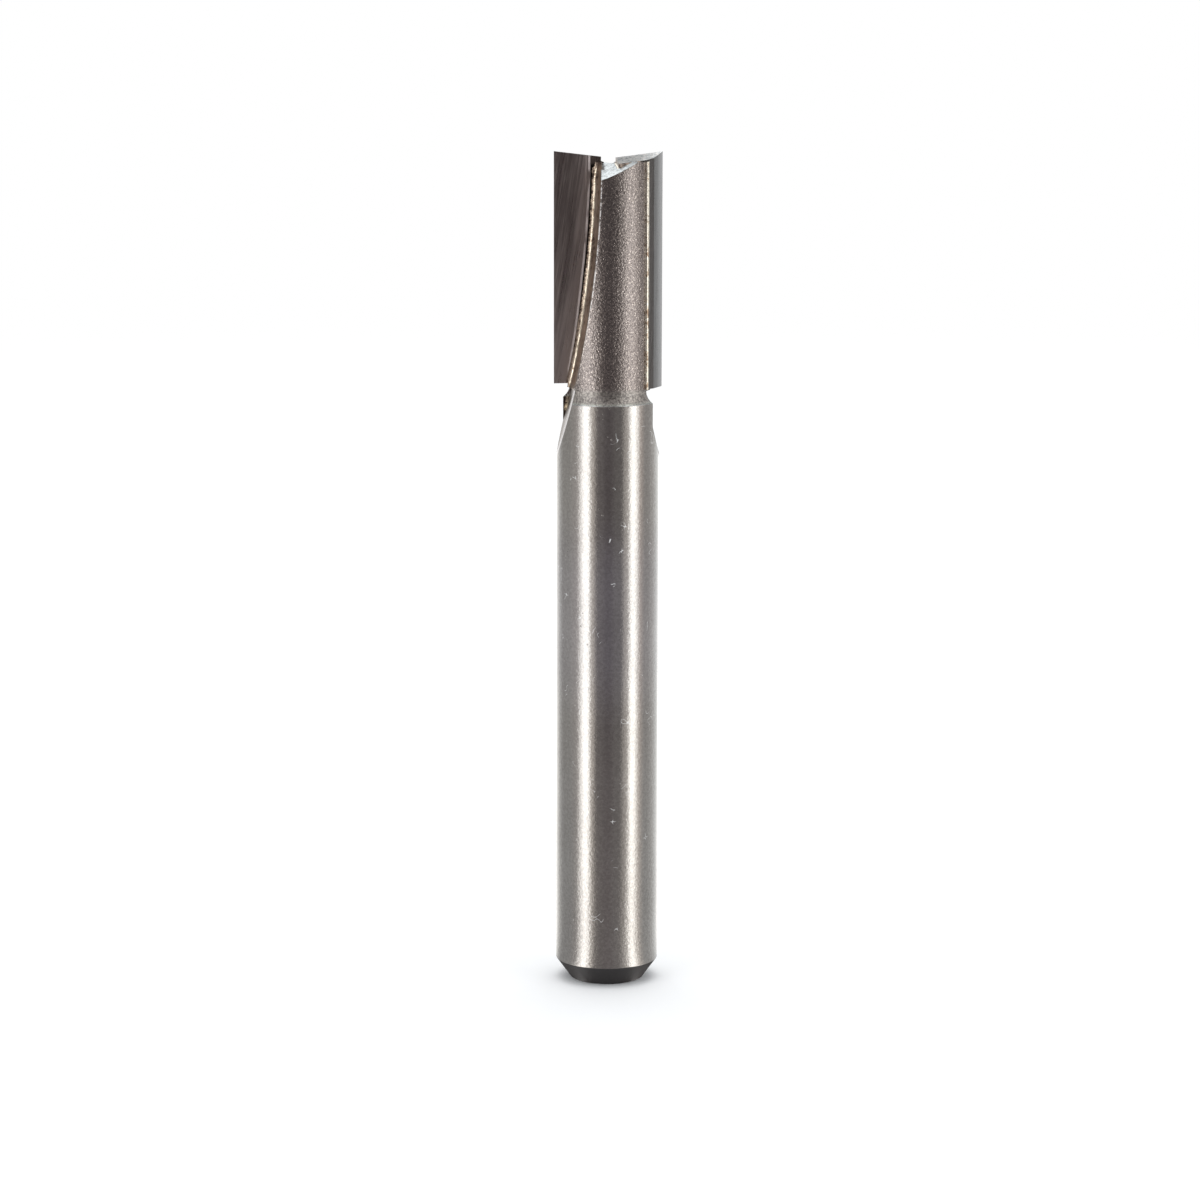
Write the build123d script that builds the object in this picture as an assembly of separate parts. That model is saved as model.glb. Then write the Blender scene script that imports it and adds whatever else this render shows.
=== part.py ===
from build123d import *
from math import acos, cos, degrees, radians, sin, sqrt, tan
import os

# Double-flute straight router bit, carbide tipped, for a quarter-inch collet.
# Millimetres. The origin is the centre of the shank's end face, +Z runs to the cutting end,
# and the two cutting edges lie on the X axis. Seen from +Z it cuts counter-clockwise.

# ---- shank and head ----
shank_diameter = 6.35
overall_length = 51.65          # end face to the cutting corners
steel_length = 51.15            # end face to the steel's own flat top, left unground
ground_shank_length = 36.45     # end face to the upper edge of the ground cylinder
end_chamfer_height = 1.28
end_chamfer_width = 0.93
end_face_round = 0.22           # where the chamfer meets the end face
head_step = 0.315               # the blasted head is this much inside the shank, all round
neck_radius = 1.05              # concave run from the head out to the shank

# ---- cutting geometry ----
cutting_diameter = 6.60
hook_angle = 7.7                # rake face against the radius at the cutting edge
side_relief_angle = 24.0        # ground land against the tangent at the cutting edge
side_heel_angle = 50.0          # steeper heel behind the land
side_heel_depth = 0.33          # of the tip's thickness, left to the heel
end_dish_angle = 7.0            # end cutting edges fall towards the axis
end_relief_angle = 11.0         # end faces fall away behind the end cutting edges

# ---- tips, seats and braze ----
tip_thickness = 1.41
tip_length = 14.18
tip_mismatch = 0.15             # the first tip reaches this much lower, as brazed
braze_film = 0.08
braze_bead = 0.15               # radius of the bead along each outer seam
braze_bead_lap = 0.06           # how far its centre lies over the steel
braze_fillet = 0.50             # radius of the hollow fillet in each gullet corner
wheel_radius = 62.60            # wheel that cuts the seats and the gullets
wheel_drop = 0.12               # its centre below the cutting corners
seat_core = 0.30                # seat's inner wall to the axis, level with the wheel's centre
gullet_core = 0.41              # gullet wall to the axis, at the same level

# ---- end gash ----
gash_depth = 0.70               # at the axis, below the cutting corners
gash_rise_angle = 23.7          # the gash floor rises towards the tip behind it
gash_fall_angle = 10.4          # and falls away from the core

flute_count = 2

# ---- worked out from the sizes above ----
# Each flute is made in its rake frame: U points outward along the rake face, W ahead of it.
shank_radius = shank_diameter / 2
head_radius = shank_radius - head_step
cutting_radius = cutting_diameter / 2
edge_u = cutting_radius * cos(radians(hook_angle))
rake_w = -cutting_radius * sin(radians(hook_angle))
back_w = rake_w - tip_thickness
floor_w = back_w - braze_film
wheel_z = overall_length - wheel_drop
gash_z = overall_length - gash_depth
reach = cutting_diameter + shank_diameter          # wider than the whole bit


def turned(shape, index):
    """Turn a shape from the rake frame to its own flute."""
    return Rotation(0, 0, hook_angle + index * 360 / flute_count) * shape


def wheel_plane(core, w):
    """Plane across a grinding wheel that reaches in to a distance from the axis, at one W."""
    return Plane(origin=(core + wheel_radius, w, wheel_z), x_dir=(1, 0, 0), z_dir=(0, 1, 0))


def wheel_cut(core, low_w, high_w, clearance=0.0):
    """Disc of the wheel between two heights in W, made smaller by a clearance."""
    disc = Cylinder(
        wheel_radius - clearance, high_w - low_w, align=(Align.CENTER, Align.CENTER, Align.MIN)
    )
    return wheel_plane(core, low_w) * disc


def above(origin, slope_u, slope_w):
    """Block whose lower face runs through a point and rises by two slopes."""
    plane = Plane(origin=origin, x_dir=(1, 0, slope_u), z_dir=(-slope_u, -slope_w, 1))
    return plane * Box(4 * reach, 4 * reach, reach, align=(Align.CENTER, Align.CENTER, Align.MIN))


def behind(limit_w):
    """Block that holds everything behind one W."""
    block = Box(2 * reach, 2 * reach, 2 * overall_length, align=(Align.CENTER, Align.MAX, Align.MIN))
    return Pos(0, limit_w, 0) * block


def ahead(limit_w):
    """Block that holds everything ahead of one W."""
    block = Box(2 * reach, 2 * reach, 2 * overall_length, align=(Align.CENTER, Align.MIN, Align.MIN))
    return Pos(0, limit_w, 0) * block


def end_relief():
    """What the end grinding takes away above one tip."""
    edge = (edge_u, rake_w, overall_length)
    return above(edge, tan(radians(end_dish_angle)), tan(radians(end_relief_angle)))


def end_gash():
    """What the gash takes away behind one tip and across the core, in front of the other."""
    floor = above((0, 0, gash_z), tan(radians(gash_rise_angle)), tan(radians(gash_fall_angle)))
    return floor & behind(-rake_w)


def seat():
    """Slot that one tip is brazed into, with room for the film on every side."""
    return wheel_cut(seat_core, floor_w, rake_w + braze_film)


def gullet():
    """Chip space ahead of one rake face. Its wall is square to the line of the cutting edges."""
    wheel = Rotation(0, 0, -hook_angle) * wheel_cut(gullet_core, -reach, reach)
    return wheel & ahead(rake_w)


def gullet_fillet():
    """Hollow braze fillet between a rake face and its gullet wall."""
    disc = Cylinder(wheel_radius, reach, align=(Align.CENTER, Align.CENTER, Align.MIN))
    rounded = fillet(disc.edges().sort_by(Axis.Z)[0], braze_fillet)
    hook = radians(hook_angle)
    wall_u = (gullet_core + (rake_w + braze_fillet) * sin(hook)) / cos(hook)
    return gullet() - wheel_plane(wall_u, rake_w) * rounded


def blank():
    """Turned steel: chamfered end, shank, concave neck and head."""
    neck_turn = acos((neck_radius - head_step) / neck_radius)
    neck_top = ground_shank_length + neck_radius * sin(neck_turn)
    face_radius = shank_radius - end_chamfer_width
    with BuildSketch(Plane.XZ) as profile:
        with BuildLine():
            Polyline(
                (0, 0),
                (face_radius, 0),
                (shank_radius, end_chamfer_height),
                (shank_radius, ground_shank_length),
            )
            CenterArc((head_radius + neck_radius, neck_top), neck_radius, 180, degrees(neck_turn))
            Polyline((head_radius, neck_top), (head_radius, steel_length), (0, steel_length), (0, 0))
        make_face()
    steel = revolve(profile.sketch, Axis.Z)
    return fillet(steel.edges().sort_by(Axis.Z)[0], end_face_round)


def steel_body():
    """One piece of steel with both gullets, seats and gashes."""
    steel = blank()
    for cut in (gullet, seat, end_gash):
        for index in range(flute_count):
            steel -= turned(cut(), index)
    return steel


def carbide_tip(drop):
    """Carbide blank in the rake frame, ground on its side and its end."""
    land_depth = tip_thickness - side_heel_depth
    land_u = edge_u - land_depth * tan(radians(side_relief_angle + hook_angle))
    heel_u = land_u - side_heel_depth * tan(radians(side_heel_angle + hook_angle))
    section = Polyline(
        (0, rake_w),
        (edge_u, rake_w),
        (land_u, rake_w - land_depth),
        (heel_u, back_w),
        (0, back_w),
        close=True,
    )
    bottom = overall_length - tip_length - drop
    tip = extrude(Pos(0, 0, bottom) * make_face(section), tip_length + drop)
    tip &= wheel_cut(seat_core, back_w, rake_w, clearance=braze_film)
    return tip - end_relief()


def braze(drop):
    """Film round a seated tip, the fillet in its gullet and the bead along its outer seam."""
    span = tip_length + drop
    bottom = overall_length - span
    upright = (Align.CENTER, Align.CENTER, Align.MIN)
    film = seat() & Pos(0, 0, bottom) * Cylinder(head_radius, span, align=upright)
    film -= gullet()
    corner = gullet_fillet() & Pos(0, 0, bottom) * Cylinder(head_radius, span, align=upright)
    seam_w = (back_w + floor_w) / 2 - braze_bead_lap
    seam_u = sqrt(head_radius**2 - seam_w**2)
    bead = Pos(seam_u, seam_w, bottom) * Cylinder(braze_bead, span, align=upright)
    metal = film + corner + bead - above((0, 0, steel_length), 0, 0) - end_relief()
    for index in range(flute_count):
        metal -= Rotation(0, 0, index * 360 / flute_count) * end_gash()
    return metal


def build():
    """Every piece in its own node."""
    steel = steel_body()
    pieces = {"steel_body": steel}
    for index in range(flute_count):
        drop = tip_mismatch if index == 0 else 0.0
        tip = turned(carbide_tip(drop), index)
        pieces[f"carbide_tip_{index + 1}"] = tip
        pieces[f"braze_{index + 1}"] = turned(braze(drop), index) - tip - steel
    return pieces


os.makedirs("parts", exist_ok=True)
for node, shape in build().items():
    export_step(shape, f"parts/{node}.step")
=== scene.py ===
import math

import bmesh
import bpy
from mathutils import Matrix, Vector, noise


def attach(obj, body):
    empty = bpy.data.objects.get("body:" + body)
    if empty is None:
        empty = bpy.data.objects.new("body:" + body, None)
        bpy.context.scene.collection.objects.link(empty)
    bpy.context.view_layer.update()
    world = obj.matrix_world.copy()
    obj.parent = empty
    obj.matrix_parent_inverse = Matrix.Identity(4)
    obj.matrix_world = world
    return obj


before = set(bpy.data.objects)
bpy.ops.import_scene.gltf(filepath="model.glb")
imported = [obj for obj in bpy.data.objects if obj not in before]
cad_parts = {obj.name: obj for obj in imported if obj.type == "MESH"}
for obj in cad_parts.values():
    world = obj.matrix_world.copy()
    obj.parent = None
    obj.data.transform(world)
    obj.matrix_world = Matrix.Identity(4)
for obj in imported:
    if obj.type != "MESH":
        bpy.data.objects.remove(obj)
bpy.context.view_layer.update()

print("frame loaded")


# Shader helpers. A Sock wraps one output socket, so a pattern reads as plain maths.

class Sock:
    def __init__(self, mat, socket):
        self.mat = mat
        self.socket = socket

    def maths(self, operation, *values):
        return self.mat.maths(operation, *values)

    def __add__(self, other):
        return self.maths("ADD", self, other)

    def __radd__(self, other):
        return self.maths("ADD", other, self)

    def __sub__(self, other):
        return self.maths("SUBTRACT", self, other)

    def __rsub__(self, other):
        return self.maths("SUBTRACT", other, self)

    def __mul__(self, other):
        return self.maths("MULTIPLY", self, other)

    def __rmul__(self, other):
        return self.maths("MULTIPLY", other, self)

    def __truediv__(self, other):
        return self.maths("DIVIDE", self, other)

    def __pow__(self, other):
        return self.maths("POWER", self, other)

    def above(self, low, high):  # 0 below low, 1 above high, smooth between
        settings = {"interpolation_type": "SMOOTHSTEP", "clamp": True}
        return self.mat.node("ShaderNodeMapRange", settings, {0: self, 1: low, 2: high, 3: 0.0, 4: 1.0})

    def below(self, low, high):
        return 1 - self.above(low, high)

    def absolute(self):
        return self.maths("ABSOLUTE", self)

    def sign(self):
        return self.maths("SIGN", self)


class Nodes:
    def __init__(self, tree):
        self.tree = tree

    def node(self, kind, settings=None, inputs=None, output=0):
        made = self.tree.nodes.new(kind)
        for key, value in (settings or {}).items():
            if key == "stops":
                self.setStops(made.color_ramp, value)
            else:
                setattr(made, key, value)
        for key, value in (inputs or {}).items():
            self.feed(made.inputs[key], value)
        return Sock(self, made.outputs[output])

    def setStops(self, ramp, stops):
        while len(ramp.elements) < len(stops):
            ramp.elements.new(1.0)
        for element, (position, colour) in zip(ramp.elements, stops):
            element.position = position
            element.color = self.colour(colour)

    def feed(self, socket, value):
        if isinstance(value, Sock):
            self.tree.links.new(value.socket, socket)
        else:
            socket.default_value = value

    def maths(self, operation, *values):
        return self.node("ShaderNodeMath", {"operation": operation}, dict(enumerate(values)))

    def larger(self, first, second):
        return self.maths("MAXIMUM", first, second)

    def colour(self, value):
        return value if isinstance(value, Sock) else (*value, 1.0)

    def blend(self, mask, first, second):
        return self.node(
            "ShaderNodeMix",
            {"data_type": "RGBA", "clamp_factor": True},
            {0: mask, 6: self.colour(first), 7: self.colour(second)},
            output=2,
        )

    def seenDirectly(self):  # 1 for camera, glossy and transmission rays
        kinds = ("Is Camera Ray", "Is Glossy Ray", "Is Transmission Ray")
        camera, glossy, through = [self.node("ShaderNodeLightPath", output=kind) for kind in kinds]
        return self.larger(self.larger(camera, glossy), through)


class Mat(Nodes):
    def __init__(self, name):
        self.material = bpy.data.materials.new(name)
        self.material.use_nodes = True
        super().__init__(self.material.node_tree)
        self.shader = self.tree.nodes["Principled BSDF"]
        self.place = self.node("ShaderNodeTexCoord", output="Object")

    def axes(self):
        return [self.node("ShaderNodeSeparateXYZ", {}, {0: self.place}, output=axis) for axis in range(3)]

    def facing(self):  # how far a face looks up, from -1 to 1
        normal = self.node("ShaderNodeTexCoord", output="Normal")
        return self.node("ShaderNodeSeparateXYZ", {}, {0: normal}, output=2)

    def noise(self, scale, detail, roughness=0.5, stretch=(1, 1, 1), turn=(0, 0, 0)):
        # the pattern is turned, and drawn out along its own axes by the stretch
        inputs = {"Vector": self.place, "Rotation": turn, "Scale": stretch}
        moved = self.node("ShaderNodeMapping", {"vector_type": "TEXTURE"}, inputs)
        inputs = {"Vector": moved, "Scale": scale, "Detail": detail, "Roughness": roughness}
        return self.node("ShaderNodeTexNoise", {"noise_dimensions": "3D"}, inputs)

    def bump(self, height, strength, distance, normal=None):
        inputs = {"Height": height, "Strength": strength, "Distance": distance}
        if normal is not None:
            inputs["Normal"] = normal
        return self.node("ShaderNodeBump", {}, inputs)

    def finish(self, **sockets):
        for name, value in sockets.items():
            self.feed(self.shader.inputs[name.replace("_", " ")], value)


# Camera: a long lens a little above the bit.

cameraSettings = {
    "lens": 121.5,
    "sensor": 36.0,
    "clip": (0.01, 20.0),
    "place": (-0.00045, -0.24639, 0.06956),
    "lookDown": 10.481,
    "roll": 0.106,
}


def makeCamera(settings):
    data = bpy.data.cameras.new("camera")
    data.lens = settings["lens"]
    data.sensor_width = settings["sensor"]
    data.clip_start, data.clip_end = settings["clip"]
    camera = bpy.data.objects.new("camera", data)
    tilt = Matrix.Rotation(math.radians(90 - settings["lookDown"]), 4, "X")
    roll = Matrix.Rotation(math.radians(settings["roll"]), 4, "Z")
    camera.matrix_world = Matrix.Translation(settings["place"]) @ tilt @ roll
    bpy.context.scene.collection.objects.link(camera)
    bpy.context.scene.camera = camera


# Floor, world and lamps.

black = (0.0, 0.0, 0.0)
white = (1.0, 1.0, 1.0)
floorSettings = {
    "radius": 0.40,
    "segments": 64,
    "fade": (0.16, 0.36),
    "colour": (0.88, 0.895, 0.91),
    "glow": 0.20,
    "glowPastContactShadow": (0.0022, 0.0036),
}
worldSettings = {"fill": 0.72, "fillColour": (0.98, 0.99, 1.0)}
lampSettings = {
    "leftBox": {"azimuth": -47, "height": 0.30, "distance": 0.60, "size": (0.30, 0.50), "power": 0.6},
    "rightBox": {"azimuth": 62, "height": 0.30, "distance": 0.60, "size": (0.40, 0.50), "power": 0.6},
    "backBox": {"azimuth": 180, "height": 0.80, "distance": 0.35, "size": (0.60, 0.60), "power": 1.9},
}
lampAim = (0, 0, 0.025)


def newObject(name, mesh):
    made = bpy.data.objects.new(name, mesh)
    bpy.context.scene.collection.objects.link(made)
    return made


def meshFrom(build, name):
    shape = bmesh.new()
    build(shape)
    mesh = bpy.data.meshes.new(name)
    shape.to_mesh(mesh)
    shape.free()
    return mesh


def makeFloor(settings):
    def disc(shape):
        bmesh.ops.create_circle(
            shape,
            cap_ends=True,
            segments=settings["segments"],
            radius=settings["radius"],
        )

    floor = newObject("floor", meshFrom(disc, "floor"))
    mat = Mat("floorPaper")
    x, y = mat.axes()[:2]
    away = (x * x + y * y) ** 0.5
    # painted contact shadow: the floor's glow begins only a little way out from the base, so the floor
    # stays darker right round it
    glow = mat.seenDirectly() * away.above(*settings["glowPastContactShadow"])
    mat.finish(
        Base_Color=mat.colour(settings["colour"]),
        Roughness=1.0,
        Specular_IOR_Level=0.0,
        Emission_Color=mat.blend(glow, black, white),
        Emission_Strength=settings["glow"],
        Alpha=away.below(*settings["fade"]),
    )
    floor.data.materials.append(mat.material)


def makeWorld(settings):
    world = bpy.data.worlds.new("studio")
    world.use_nodes = True
    tree = world.node_tree
    tree.nodes.remove(tree.nodes["Background"])
    nodes = Nodes(tree)
    colour = nodes.colour(settings["fillColour"])
    fill = nodes.node("ShaderNodeBackground", {}, {"Color": colour, "Strength": settings["fill"]})
    seen = nodes.node("ShaderNodeBackground", {}, {"Color": nodes.colour(white), "Strength": 1.0})
    mixed = nodes.node("ShaderNodeMixShader", {}, {0: nodes.seenDirectly(), 1: fill, 2: seen})
    nodes.feed(tree.nodes["World Output"].inputs["Surface"], mixed)
    bpy.context.scene.world = world


def makeLamp(name, settings):
    data = bpy.data.lights.new(name, "AREA")
    data.shape = "RECTANGLE"
    data.size, data.size_y = settings["size"]
    data.energy = settings["power"]
    lamp = bpy.data.objects.new(name, data)
    azimuth = math.radians(settings["azimuth"])
    reach = settings["distance"]
    lamp.location = (reach * math.sin(azimuth), -reach * math.cos(azimuth), settings["height"])
    toBit = Vector(lampAim) - lamp.location
    lamp.rotation_euler = toBit.to_track_quat("-Z", "Y").to_euler()
    lamp.visible_glossy = False
    lamp.visible_camera = False
    bpy.context.scene.collection.objects.link(lamp)


# A light tent of lit and dark cards round the bit. Only glossy rays see it. A card runs from one
# azimuth to another, in degrees, and melts into the next one. One without width is a mere turning
# point between its neighbours.

tentSettings = {
    "radius": 0.012,
    "segments": 128,
    "height": 0.16,
    "skirtInner": 0.0022,
    "lift": 0.00002,
    "strength": 2.0,
    "ringBlend": (0.002, 0.022),
    "highCards": [
        (-180, -172, (0.15, 0.145, 0.14)),
        (-163, -155, (0.85, 0.84, 0.82)),
        (-118, -118, (0.29, 0.29, 0.285)),
        (-104, -80, (0.178, 0.174, 0.167)),
        (-62, -62, (0.235, 0.222, 0.214)),
        (-46.5, -37, (1.0, 0.99, 0.97)),
        (-33, -27, (0.31, 0.287, 0.265)),
        (-21, -12, (0.090, 0.082, 0.081)),
        (-2, 7, (0.063, 0.056, 0.057)),
        (15, 29, (0.087, 0.081, 0.079)),
        (34, 42, (0.27, 0.255, 0.24)),
        (47, 56, (1.0, 0.99, 0.96)),
        (68, 68, (0.30, 0.267, 0.245)),
        (80, 92, (0.185, 0.178, 0.172)),
        (109, 109, (0.30, 0.298, 0.29)),
        (132, 132, (0.48, 0.49, 0.49)),
        (155, 163, (0.85, 0.84, 0.82)),
        (172, 180, (0.15, 0.145, 0.14)),
    ],
    "lowCards": [
        (-180, -172, (0.17, 0.165, 0.16)),
        (-162, -154, (0.75, 0.74, 0.72)),
        (-118, -118, (0.25, 0.25, 0.245)),
        (-104, -78, (0.170, 0.169, 0.167)),
        (-62, -62, (0.20, 0.19, 0.183)),
        (-46.5, -38, (1.0, 0.98, 0.95)),
        (-33, -28, (0.30, 0.278, 0.255)),
        (-24, -16, (0.108, 0.10, 0.097)),
        (-6, 7, (0.094, 0.085, 0.085)),
        (14, 26, (0.107, 0.10, 0.098)),
        (34, 41, (0.25, 0.235, 0.22)),
        (46, 54, (0.96, 0.94, 0.90)),
        (64, 64, (0.36, 0.33, 0.30)),
        (78, 92, (0.187, 0.186, 0.183)),
        (109, 109, (0.27, 0.27, 0.265)),
        (132, 132, (0.44, 0.45, 0.45)),
        (154, 162, (0.75, 0.74, 0.72)),
        (172, 180, (0.17, 0.165, 0.16)),
    ],
    "coolFoot": (0.014, 0.019),
    "coolTop": (0.024, 0.029),
    "coolShare": 0.10,
    "coolColour": (0.27, 0.27, 0.35),
}


def makeTent(settings):
    def wall(shape):
        bmesh.ops.create_circle(shape, segments=settings["segments"], radius=settings["radius"])
        base = shape.edges[:]
        rim = bmesh.ops.extrude_edge_only(shape, edges=base)["geom"]
        top = [part for part in rim if isinstance(part, bmesh.types.BMVert)]
        bmesh.ops.translate(shape, verts=top, vec=(0, 0, settings["height"]))
        skirt = bmesh.ops.extrude_edge_only(shape, edges=base)["geom"]
        inner = [part for part in skirt if isinstance(part, bmesh.types.BMVert)]
        share = settings["skirtInner"] / settings["radius"]
        bmesh.ops.scale(shape, verts=inner, vec=(share, share, 1))
        bmesh.ops.translate(shape, verts=shape.verts, vec=(0, 0, settings["lift"]))

    tent = newObject("lightTent", meshFrom(wall, "lightTent"))
    mat = Mat("tentCards")
    x, y, z = mat.axes()
    turn = mat.maths("ARCTAN2", x, y * -1) / (2 * math.pi) + 0.5
    rings = []
    for ring in ("lowCards", "highCards"):
        stops = []
        for start, end, colour in settings[ring]:
            stops += [((angle + 180) / 360, colour) for angle in sorted({start, end})]
        rings.append(mat.node("ShaderNodeValToRGB", {"stops": stops}, {0: turn}))
    cards = mat.blend(z.above(*settings["ringBlend"]), *rings)
    cool = z.above(*settings["coolFoot"]) * z.below(*settings["coolTop"])
    cards = mat.blend(cool * settings["coolShare"], cards, settings["coolColour"])
    mat.tree.nodes.remove(mat.shader)
    light = mat.node("ShaderNodeEmission", {}, {"Color": cards, "Strength": settings["strength"]})
    mat.feed(mat.tree.nodes["Material Output"].inputs["Surface"], light)
    tent.data.materials.append(mat.material)
    tent.visible_camera = False
    tent.visible_diffuse = False
    tent.visible_shadow = False
    tent.visible_transmission = False


bpy.context.scene.view_settings.view_transform = "Standard"
makeCamera(cameraSettings)
makeFloor(floorSettings)
makeWorld(worldSettings)
for lampName in lampSettings:
    makeLamp(lampName, lampSettings[lampName])
makeTent(tentSettings)
print("studio ready")


def spanOf(name):  # lowest and highest point of a CAD node, in millimetres
    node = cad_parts[name]
    heights = [(node.matrix_world @ Vector(corner)).z * 1000 for corner in node.bound_box]
    return min(heights), max(heights)


# The bit's own sizes, in millimetres. Each flute has a rake frame, turned by the hook angle: one
# axis runs outward along the rake face, the other square to it. The face is behind the frame's
# origin, so rakeAhead is negative.

wheelDrop = 0.12  # how far the gullet wheel's centre is below the cutting corners
bitSizes = {
    "hook": math.radians(7.7),
    "rakeAhead": -0.442,
    "wheelRadius": 62.6,
    "wheelHeight": spanOf("carbide_tip_1")[1] - wheelDrop,
    "gulletCore": 0.41,
    "chamferTop": 1.28,
    "stepHeight": 36.45,
    "neckTop": 37.1,
    "shankRadius": 3.175,
    "headRadius": 2.86,
    "tipBottoms": [spanOf(name)[0] for name in ("carbide_tip_1", "carbide_tip_2")],
    "narrowSpan": (38.5, 44.5),
    "narrowShare": 0.20,
}


def wallReach(z):  # how far out along X the gullet wall stands at one height, a number or a socket
    wheel = bitSizes["wheelRadius"]
    drop = z - bitSizes["wheelHeight"]
    return bitSizes["gulletCore"] + wheel - (wheel * wheel - drop * drop) ** 0.5


def wallOutward(z):  # how far out along the rake face it meets the gullet wall
    hook = bitSizes["hook"]
    return (wallReach(z) + bitSizes["rakeAhead"] * math.sin(hook)) / math.cos(hook)


def outwardOf(x, y):  # along the rake face, from the axis
    hook = bitSizes["hook"]
    return (x * math.cos(hook) + y * math.sin(hook)) * x.sign()


def behindOf(x, y):  # behind the plane through the axis that the rake face is parallel to
    hook = bitSizes["hook"]
    return (x * math.sin(hook) - y * math.cos(hook)) * x.sign()


def narrowing(z):  # the fillet and what borders it get narrower towards its lower end
    return 1 - z.below(*bitSizes["narrowSpan"]) * bitSizes["narrowShare"]


# Tool steel: ground shank, blackened end chamfer, blasted head, ground gashes, dark slots.
# Pairs are where a mask starts and ends: heights and distances in millimetres, or levels of noise.

steelFinish = {
    "groundColours": ((0.50, 0.482, 0.468), (0.68, 0.664, 0.648)),
    "blastedColours": ((0.29, 0.26, 0.253), (0.43, 0.385, 0.37)),
    "glintFleckColour": (0.85, 0.77, 0.72),
    "pitColour": (0.12, 0.11, 0.10),
    "scuffColour": (0.92, 0.92, 0.92),
    "neckColours": ((0.26, 0.25, 0.243), (0.57, 0.545, 0.52)),
    "blackColour": (0.046, 0.043, 0.044),
    "slotColour": (0.075, 0.055, 0.048),
    "streakColour": (0.98, 0.86, 0.68),
    "lipColour": (0.62, 0.64, 0.60),
    "gashColours": ((0.26, 0.29, 0.31), (0.68, 0.74, 0.78)),
    "topColour": (0.30, 0.25, 0.22),
    "wallColours": ((0.10, 0.078, 0.066), (0.24, 0.195, 0.165)),
    "edgeHighlightColour": (0.92, 0.88, 0.87),
    "headShadeSpan": (43.0, 50.0),
    "slotTop": (37.35, 37.5),
    "runOut": {"outward": 2.18, "height": 36.9, "slope": 0.165, "width": (0.04, 0.09)},
    "runOutBehind": (1.3, 1.6),
    "runOutFrom": (35.5, 35.8),
    "lipFoot": (36.42, 36.46),
    "lipTop": (36.54, 36.64),
    "edgeWidth": (0.06, 0.08),
    "edgeBeyond": (0.2, 0.3),
    "edgeRound": 0.05,
    "edgeWhole": (37.2, 37.4),
    "edgePatchy": (39.0, 44.0),
    "pitsFrom": (14.0, 30.0),
    "roughLow": (1.0, 16.0),
    "grainyLow": (1.0, 14.0),
    "upward": (0.6, 0.7),
    "level": (0.985, 0.995),
    "rough": {"head": 0.20, "neck": 0.14, "shank": 0.10, "lines": 0.06, "low": 0.05, "gash": 0.30,
              "chamfer": 0.75},
}


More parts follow.
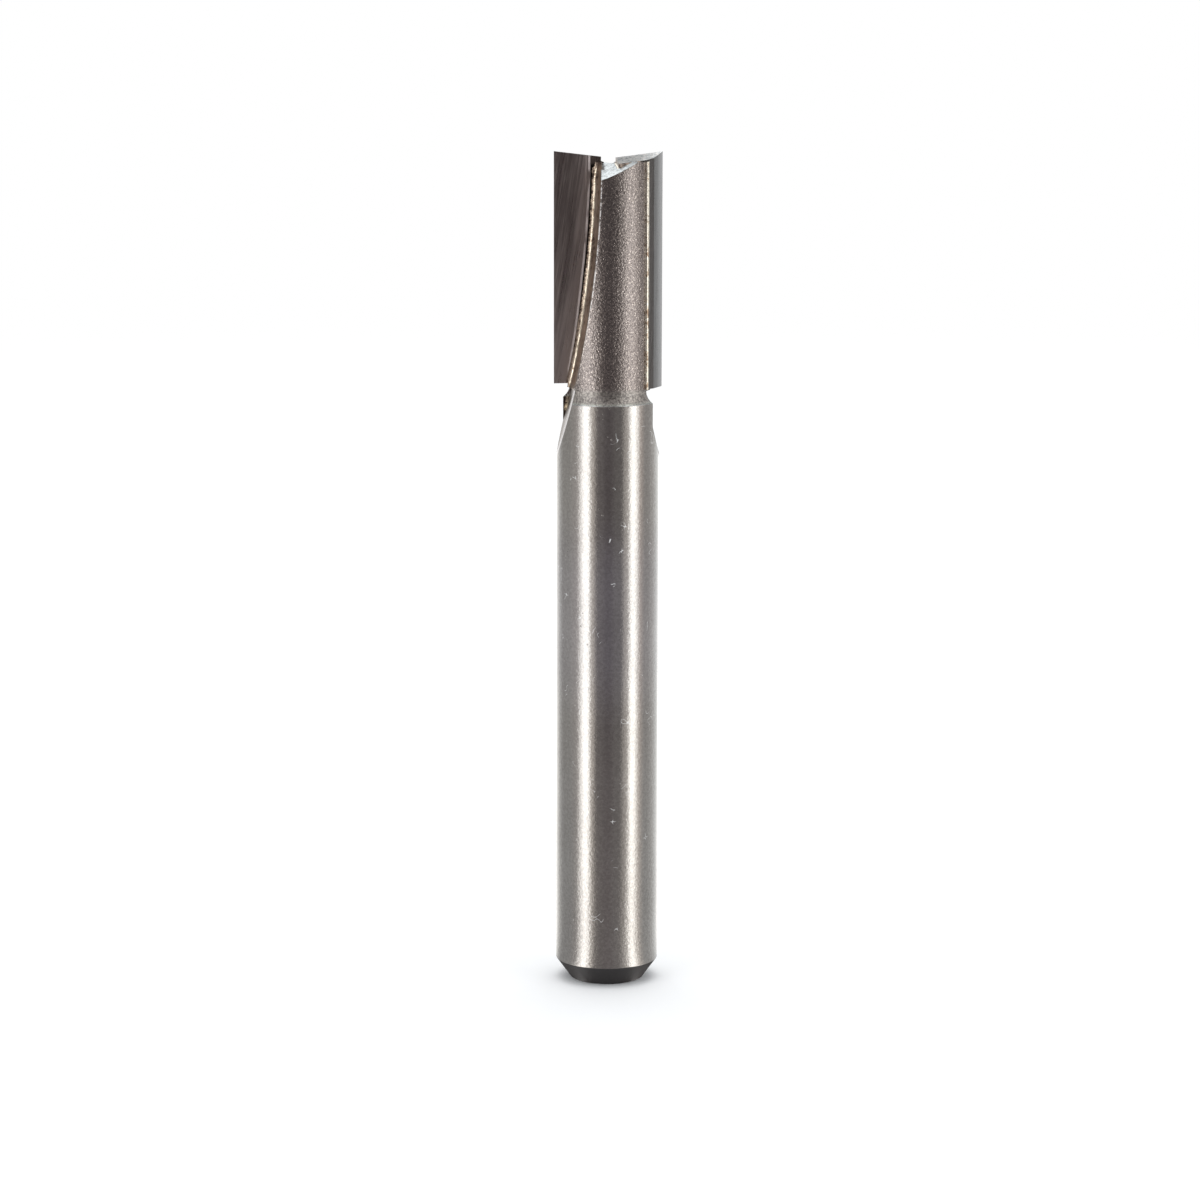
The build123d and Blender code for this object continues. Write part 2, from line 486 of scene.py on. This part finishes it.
def makeSteel(finish):
    mat = Mat("toolSteel")
    x, y, z = [axis * 1000 for axis in mat.axes()]
    radius = (x * x + y * y) ** 0.5
    side = y.sign()
    up = mat.facing()

    fineLines = mat.noise(900, 4, 0.65, stretch=(1, 1, 0.03)) - 0.5
    broad = mat.noise(260, 2)
    grain = mat.noise(8000, 2, 0.7)
    specks = mat.noise(14000, 1)
    frost = mat.noise(5600, 3, 0.75)
    glintFlecks = mat.noise(10500, 2, 0.6).above(0.58, 0.65)
    spots = mat.noise(5200, 2, 0.6).above(0.58, 0.64)
    streaks = mat.noise(1500, 3, 0.6, stretch=(1, 1, 8))
    scratches = mat.noise(2200, 3, 0.7, stretch=(7, 1, 1), turn=(0, 0, math.radians(35)))
    cells = {"Vector": mat.place, "Scale": 2900.0, "Randomness": 1.0}
    dots = mat.node("ShaderNodeTexVoronoi", {"feature": "F1"}, cells)
    worn = mat.noise(300, 3, 0.6).above(0.54, 0.60)
    scuffs = (mat.noise(2300, 0) - 0.5).absolute().below(0.006, 0.018)

    shank = z.below(bitSizes["stepHeight"] - 0.01, bitSizes["stepHeight"] + 0.01)
    shankSkin = shank * radius.above(bitSizes["shankRadius"] - 0.025, bitSizes["shankRadius"] - 0.01)
    headSkin = radius.above(bitSizes["headRadius"] - 0.03, bitSizes["headRadius"] - 0.02)
    skin = headSkin * (1 - shank) + shankSkin
    chamfer = z.below(bitSizes["chamferTop"] - 0.03, bitSizes["chamferTop"])
    gash = up.above(*finish["upward"]) * up.below(*finish["level"])
    top = up.above(*finish["level"])
    neck = z.below(bitSizes["neckTop"], bitSizes["neckTop"] + 0.5)
    slot = (1 - skin) * z.below(*finish["slotTop"])

    # a streak of braze runs down the slot's run-out
    runOut = finish["runOut"]
    streakPath = runOut["outward"] + (runOut["height"] - z) * runOut["slope"]
    strayed = (outwardOf(x, y) - streakPath).absolute()
    goldStreak = strayed.below(*runOut["width"]) * behindOf(x, y).above(*finish["runOutBehind"])
    goldStreak = goldStreak * slot * z.above(*finish["runOutFrom"])

    # a lighter, patchy band on the step's edge; along each edge of the gullet a painted highlight, white
    # on the burnished edge
    lip = z.above(*finish["lipFoot"]) * z.below(*finish["lipTop"]) * specks.above(0.40, 0.56)
    inside = wallReach(z) - x * side
    edgeHighlight = inside.below(*finish["edgeWidth"]) * skin * (x * side).above(*finish["edgeBeyond"])
    patchy = mat.noise(4200, 3, 0.7).above(0.45, 0.53) * z.above(*finish["edgePatchy"]) * 0.85
    edgeHighlight = edgeHighlight * (z.below(*finish["edgeWhole"]) + patchy * z.above(*finish["edgeWhole"]))

    colour = mat.blend(grain.above(0.38, 0.62), *finish["blastedColours"])
    # painted glints: light flecks on the blasted head stand in for the sparkle of its grains
    colour = mat.blend(glintFlecks * 0.8, colour, finish["glintFleckColour"])
    # painted shade: the blasted head gets darker towards its top, blended towards the chamfer's black
    colour = mat.blend(z.above(*finish["headShadeSpan"]) * 0.13, colour, finish["blackColour"])
    colour = mat.blend(neck * 0.8, colour, mat.blend(grain.above(0.40, 0.60), *finish["neckColours"]))
    colour = mat.blend(lip, colour, finish["lipColour"])
    wall = mat.blend(streaks.above(0.35, 0.65), *finish["wallColours"])
    wall = mat.blend(slot * 0.75, wall, finish["slotColour"])
    wall = mat.blend(goldStreak * grain.above(0.34, 0.44), wall, finish["streakColour"])
    colour = mat.blend(skin, wall, colour)
    mottled = (broad * 0.3 + frost * 0.7).above(0.30, 0.70)
    colour = mat.blend(shankSkin, colour, mat.blend(mottled, *finish["groundColours"]))
    scuffs = scuffs * mat.noise(900, 1).above(0.66, 0.69) * shankSkin
    colour = mat.blend(scuffs, colour, finish["scuffColour"])
    pits = dots.below(0.09, 0.15) * worn * shankSkin * z.above(*finish["pitsFrom"])
    colour = mat.blend(pits * 0.8, colour, finish["pitColour"])
    marks = (scratches * 0.6 + grain * 0.4).above(0.34, 0.54) * (1 - spots * 0.8)
    # up-facing ground gash faces: their scratch-marked ground finish, tinted light blue as a painted
    # reflection of the sky above
    colour = mat.blend(gash, colour, mat.blend(marks, *finish["gashColours"]))
    colour = mat.blend(top, colour, finish["topColour"])
    colour = mat.blend(edgeHighlight, colour, finish["edgeHighlightColour"])
    colour = mat.blend(chamfer, colour, finish["blackColour"])

    roughness = finish["rough"]
    rough = roughness["head"] + neck * roughness["neck"]
    ground = roughness["shank"] + fineLines * roughness["lines"]
    ground = ground + z.below(*finish["roughLow"]) * roughness["low"]
    rough = rough * (1 - shankSkin) + shankSkin * ground
    rough = rough * (1 - gash) + gash * roughness["gash"]
    rough = rough * (1 - chamfer) + chamfer * roughness["chamfer"]

    blasted = headSkin * (1 - shank) * (1 - gash)
    height = (grain * 0.65 + specks * 0.35) * blasted * 0.62
    sparkle = (frost * 0.7 + grain * 0.3) * shankSkin * (0.16 + z.below(*finish["grainyLow"]) * 0.12)
    height = height + fineLines * shankSkin * 0.02 + sparkle - pits * 0.3 + broad * shankSkin * 0.12
    height = height + streaks * (1 - skin) * 0.5
    soft = mat.node("ShaderNodeBevel", {"samples": 4}, {"Radius": finish["edgeRound"] / 1000})
    dull = mat.larger(edgeHighlight * 0.8, chamfer * 0.85)
    mat.finish(
        Base_Color=colour,
        Metallic=1 - mat.larger(dull, scuffs * 0.6),
        Roughness=rough,
        Anisotropic=0.3,
        Anisotropic_Rotation=0.25,
        Normal=mat.bump(height, 1.0, 0.00008, soft),
    )
    return mat.material


# Tungsten carbide tips, ground fine, black where the wheel didn't reach, that black also painted shade in
# the gaps beside the fillet and behind the heel.

carbideFinish = {
    "groundColours": ((0.25, 0.215, 0.21), (0.62, 0.555, 0.54)),
    "landColours": ((0.40, 0.40, 0.41), (0.50, 0.50, 0.51)),
    "topColours": ((0.66, 0.72, 0.76), (1.0, 1.0, 1.0)),
    "skinAndShadeColour": (0.022, 0.018, 0.017),
    "skinAndShadeTopColour": (0.22, 0.185, 0.17),
    "lightColour": (0.98, 0.88, 0.86),
    "rootColours": ((0.18, 0.14, 0.12), (0.56, 0.46, 0.39)),
    "innerStrip": 0.675,
    "upward": (0.6, 0.7),
    "faceEnd": (0.46, 0.50),
    "landFrom": (0.46, 0.48),
    "shadeSpan": (0.40, 1.42),
    "heelFrom": (1.72, 1.80),
    "rootWithin": (1.7, 1.8),
    "secondFrom": (49.0, 50.0),
    "skinTop": (50.75, 50.95),
    "middle": 44,
    "streakTilt": 9,
}


def makeCarbide(finish):
    mat = Mat("carbide")
    x, y, z = [axis * 1000 for axis in mat.axes()]
    outward = outwardOf(x, y)
    behind = behindOf(x, y)

    turn = (0, math.radians(finish["streakTilt"]), 0)
    streaks = mat.noise(4200, 4, 0.75, stretch=(1, 1, 45), turn=turn)
    broad = mat.noise(700, 2, stretch=(1, 1, 9), turn=turn)
    speckle = mat.noise(7000, 3, 0.7).above(0.42, 0.58)
    broken = mat.noise(2600, 2, 0.6, stretch=(1, 1, 5)).above(0.36, 0.50)

    top = mat.facing().above(*finish["upward"])
    face = behind.below(*finish["faceEnd"])
    land = behind.above(*finish["landFrom"]) * (1 - top)
    # painted shade: the land darkens towards its back, and the heel is painted black, its unground skin
    # and shade together
    shade = behind.above(*finish["shadeSpan"]) * (1 - top)
    heel = behind.above(*finish["heelFrom"]) * (1 - top)
    root = behind.above(*finish["faceEnd"]) * (1 - top) * outward.below(*finish["rootWithin"])

    # beside the fillet: a black strip of unground skin and painted shade in the gap, a bright streak next
    # to it, and a second one near the top
    inset = outward - wallOutward(z)
    strip = finish["innerStrip"] * narrowing(z)
    inner = inset.below(strip - 0.03, strip) * face
    light = inset.above(strip, strip + 0.03) * inset.below(strip + 0.09, strip + 0.17) * broken * face
    second = inset.above(strip + 0.20, strip + 0.24) * inset.below(strip + 0.27, strip + 0.33)
    second = second * z.above(*finish["secondFrom"])

    tone = 0.50 + (streaks - 0.5) * 0.70 + (broad - 0.5) * 0.13 - (z - finish["middle"]) * 0.011
    tone = tone + inset.below(strip + 0.10, strip + 1.0) * 0.16
    colour = mat.blend(tone.above(0.36, 0.64), *finish["groundColours"])
    colour = mat.blend(mat.larger(light, second * 0.8 * face), colour, finish["lightColour"])
    colour = mat.blend(land, colour, mat.blend(streaks, *finish["landColours"]))
    colour = mat.blend(shade * 0.66, colour, finish["skinAndShadeColour"])
    # up-facing faces: their ground finish, tinted light blue to white as a painted reflection of the sky
    # above
    colour = mat.blend(top, colour, mat.blend(streaks.above(0.40, 0.60), *finish["topColours"]))
    skin = mat.blend(z.above(*finish["skinTop"]) * face, finish["skinAndShadeColour"], finish["skinAndShadeTopColour"])
    colour = mat.blend(mat.larger(heel, inner), colour, skin)
    colour = mat.blend(root, colour, mat.blend(speckle, *finish["rootColours"]))
    dull = mat.larger(root, heel) * 0.7
    mat.finish(
        Base_Color=colour,
        Metallic=1 - mat.larger(dull, light * 0.4),
        Roughness=0.30 + (streaks - 0.5) * 0.25 + heel * 0.5,
        Normal=mat.bump(streaks, 0.6, 0.00003),
    )
    return mat.material


# Braze alloy: gold that flowed and set a little wavy. Along the fillet it is bright gold only in a
# line, a painted highlight, and dark brown beside it, as tarnish and painted shade; painted shade darkens
# the fillet's upper end.

brazeFinish = {
    "colour": (0.93, 0.83, 0.68),
    "dark": (0.42, 0.31, 0.23),
    "tarnishAndShadeColours": ((0.07, 0.052, 0.045), (0.27, 0.21, 0.178)),
    "outerColours": ((0.16, 0.12, 0.10), (0.95, 0.78, 0.62)),
    "seamHighlightColour": (1.0, 0.95, 0.84),
    "topShadeColour": (0.14, 0.115, 0.105),
    "frontEnd": (0.6, 0.7),
    "line": (0.345, 0.41),
    "lineTop": (50.3, 50.8),
    "lineBends": (50.0, 51.0),
    "outerFrom": (39.0, 44.0),
    "topShadeFrom": (50.85, 51.05),
    "middle": 44,
    "roughness": 0.17,
}


def makeBraze(finish):
    mat = Mat("brazeAlloy")
    x, y, z = [axis * 1000 for axis in mat.axes()]
    flow = mat.noise(1500, 3, 0.6, stretch=(1, 1, 1.7))
    fine = mat.noise(5200, 2, 0.6)
    tarnish = (flow * 0.6 + fine * 0.4).above(0.36, 0.50)
    front = behindOf(x, y).below(*finish["frontEnd"])  # the fillet, and not the bead on the seam
    out = (x * x.sign() - wallReach(z)) / narrowing(z)
    out = out + (flow - 0.5) * 0.12 + (fine - 0.5) * 0.08 + z.above(*finish["lineBends"]) * 0.10
    lineFrom, lineTo = finish["line"]
    # painted highlight: the fillet keeps its bright gold only in this band; elsewhere it is painted dark
    # brown, tarnish and painted shade
    highlightBand = out.above(lineFrom - 0.04, lineFrom) * out.below(lineTo, lineTo + 0.04)
    dull = (1 - highlightBand * z.below(*finish["lineTop"])) * front
    outer = out.above(lineTo + 0.03, lineTo + 0.06) * front
    outer = outer * (0.15 + z.above(*finish["outerFrom"]) * 0.85)
    # painted highlight: near-white patches on the bead over the seam, more of them higher up
    seam = (flow * 0.4 + fine * 0.6 + (z - finish["middle"]) * 0.008).above(0.42, 0.50) * (1 - front)

    colour = mat.blend(tarnish, finish["dark"], finish["colour"])
    colour = mat.blend(dull * 0.9, colour, mat.blend(tarnish, *finish["tarnishAndShadeColours"]))
    colour = mat.blend(outer, colour, mat.blend(fine.above(0.40, 0.60), *finish["outerColours"]))
    colour = mat.blend(seam, colour, finish["seamHighlightColour"])
    # painted shade: the fillet's upper end is darkened
    colour = mat.blend(z.above(*finish["topShadeFrom"]) * front, colour, finish["topShadeColour"])
    mat.finish(
        Base_Color=colour,
        Metallic=1.0,
        Roughness=finish["roughness"] + dull * 0.2,
        Normal=mat.bump(flow * 0.6 + fine * 0.4, 1.0, 0.00005),
    )
    return mat.material


braze = makeBraze(brazeFinish)
carbide = makeCarbide(carbideFinish)
finishes = {"steel_body": makeSteel(steelFinish)}
for number in ("1", "2"):
    finishes["carbide_tip_" + number] = carbide
    finishes["braze_" + number] = braze
for name, finish in finishes.items():
    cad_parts[name].material_slots[0].material = finish
print("finishes ready")


# Braze that flowed into each gullet corner and set as a hollow, uneven fillet. A hollow profile
# is spun round the axle of the gullet's wheel, then made uneven and leant onto the rake face.

filletSettings = {
    "faceLeg": 0.56,
    "wallLeg": 1.10,
    "sink": 0.03,
    "top": 50.97,
    "runOut": 0.35,
    "profileSteps": 10,
    "lengthSteps": 260,
    "merge": 0.0001,
    "narrowTop": 0.2,
    "narrowTopSpan": 1.5,
    "wave": 0.10,
    "waveRate": 1.5,
    "waveRow": 0.3,
    "rippleRate": 6.0,
    "rippleRow": 7.3,
    "rippleShare": 0.5,
    "seedStep": 40.0,
}


def makeFillet(index, settings):
    wheel, height = bitSizes["wheelRadius"], bitSizes["wheelHeight"]
    core, tilt = bitSizes["gulletCore"], math.tan(bitSizes["hook"])
    rakeY = bitSizes["rakeAhead"] / math.cos(bitSizes["hook"])
    bottom = bitSizes["tipBottoms"][index] - settings["runOut"]
    startTurn = math.asin((settings["top"] - height) / wheel)
    endTurn = math.asin((bottom - height) / wheel)
    narrowFrom, narrowTo = bitSizes["narrowSpan"]
    seed = settings["seedStep"] * index

    def widening(z):  # how much wider the fillet is at one height, as a share of its width
        nearTop = max(0.0, 1 - (settings["top"] - z) / settings["narrowTopSpan"])
        share = min(1.0, max(0.0, (narrowTo - z) / (narrowTo - narrowFrom)))
        nearEnd = share * share * (3 - 2 * share)
        wave = noise.noise((settings["waveRate"] * z, settings["waveRow"], seed))
        ripple = noise.noise((settings["rippleRate"] * z, settings["rippleRow"], seed))
        uneven = settings["wave"] * (wave + settings["rippleShare"] * ripple)
        return uneven - settings["narrowTop"] * nearTop - bitSizes["narrowShare"] * nearEnd

    def sweep(shape):
        profile = [(-settings["sink"], -settings["sink"])]
        for step in range(settings["profileSteps"] + 1):
            turn = math.pi / 2 * step / settings["profileSteps"]
            out = settings["faceLeg"] * (1 - math.sin(turn))
            profile.append((out, settings["wallLeg"] * (1 - math.cos(turn))))
        profile.append((-settings["sink"], settings["wallLeg"]))
        verts = [shape.verts.new((core + out, ahead, height)) for out, ahead in profile]
        face = shape.faces.new(verts)
        centre = (core + wheel, 0, height)
        bmesh.ops.rotate(shape, verts=verts, cent=centre, matrix=Matrix.Rotation(startTurn, 3, "Y"))
        bmesh.ops.spin(
            shape,
            geom=[face],
            cent=centre,
            axis=(0, 1, 0),
            angle=endTurn - startTurn,
            steps=settings["lengthSteps"],
        )
        bmesh.ops.remove_doubles(shape, verts=shape.verts, dist=settings["merge"])
        bmesh.ops.recalc_face_normals(shape, faces=shape.faces)
        for vert in shape.verts:
            place = vert.co
            out = max(0.0, place.x - wallReach(place.z))
            place.x += out * widening(place.z)
            place.y += rakeY + tilt * place.x
        halfTurns = Matrix.Rotation(index * math.pi, 3, "Z")
        bmesh.ops.rotate(shape, verts=shape.verts, cent=(0, 0, 0), matrix=halfTurns)
        bmesh.ops.scale(shape, verts=shape.verts, vec=(0.001, 0.001, 0.001))
        for part in shape.faces:
            part.smooth = True

    fillet = newObject(f"brazeFillet{index + 1}", meshFrom(sweep, f"brazeFillet{index + 1}"))
    fillet.data.materials.append(braze)
    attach(fillet, "root")
    return fillet


for index in range(len(bitSizes["tipBottoms"])):
    made = makeFillet(index, filletSettings)
    print(made.name, len(made.data.polygons), "faces")
